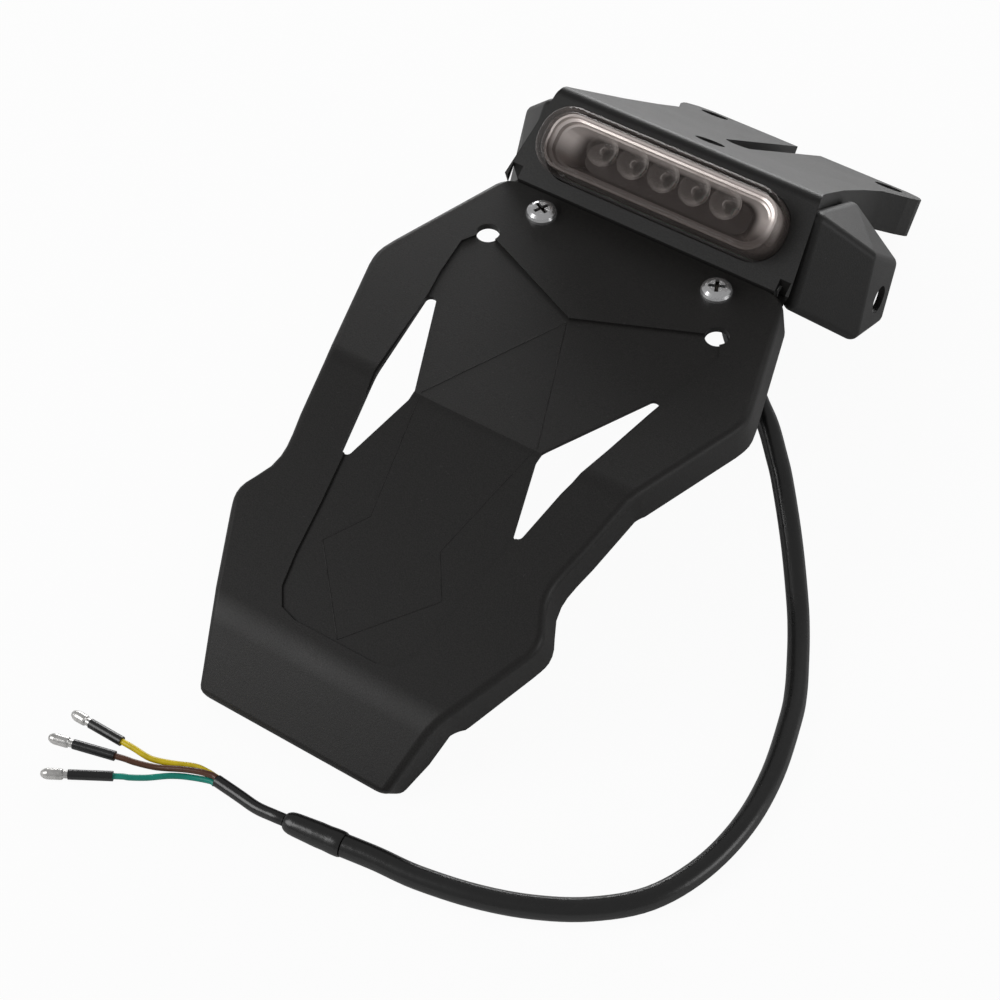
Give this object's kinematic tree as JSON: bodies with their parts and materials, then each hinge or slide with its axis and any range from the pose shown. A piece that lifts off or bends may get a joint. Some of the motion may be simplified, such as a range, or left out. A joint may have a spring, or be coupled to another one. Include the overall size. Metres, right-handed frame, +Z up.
{
  "type": "dirt bike rear fender",
  "caption": "Rear fender end of a dirt bike: folded number plate carrier, tail lamp housing with winged sides, lamp, slotted mounting plate and lead with bullet terminals.",
  "frame": {"origin": "centre of the bounding box of everything but the lead, at its base, on the surface the part lies on", "axes": "+Z up; +Y from the carrier's lip to the arms of the mounting plate; +X across, to the rider's left; XZ symmetry except the lead"},
  "size_m": [0.2325, 0.4218, 0.1011],
  "materials": {
    "carrier_plastic": "fine moulded grain, satin",
    "housing_plastic": "fine moulded grain, satin",
    "lens_plastic": "clear, lightly smoked",
    "reflector_chrome": "bright metallised",
    "board_green": "coated board",
    "chip_yellow": "clear resin over phosphor",
    "cover_plastic": "plain moulded",
    "rubber_black": "matt",
    "zinc_steel": "bright zinc plate",
    "jacket_black": "semi-gloss cable jacket",
    "shrink_black": "heat-shrunk sleeve",
    "wire_yellow": "gloss insulation",
    "wire_brown": "gloss insulation",
    "wire_green": "gloss insulation",
    "tinned_metal": "tinned, bright"
  },
  "bodies": {
    "root": {"plate_carrier": "carrier_plastic", "tail_housing": "housing_plastic", "lens": "lens_plastic", "lens_gasket": "rubber_black", "reflector": "reflector_chrome", "led_board": "board_green", "led_chips": "chip_yellow", "lamp_back_cover": "cover_plastic", "lamp_screws": "zinc_steel", "carrier_screws": "zinc_steel", "carrier_nuts": "zinc_steel", "cable_grommet": "rubber_black", "cable": "jacket_black", "joint_sleeve": "shrink_black", "inner_sheath": "jacket_black", "wire_yellow": "wire_yellow", "wire_brown": "wire_brown", "wire_green": "wire_green", "sleeve_yellow": "shrink_black", "sleeve_brown": "shrink_black", "sleeve_green": "shrink_black", "bullet_yellow": "tinned_metal", "bullet_brown": "tinned_metal", "bullet_green": "tinned_metal"}
  },
  "joints": []
}
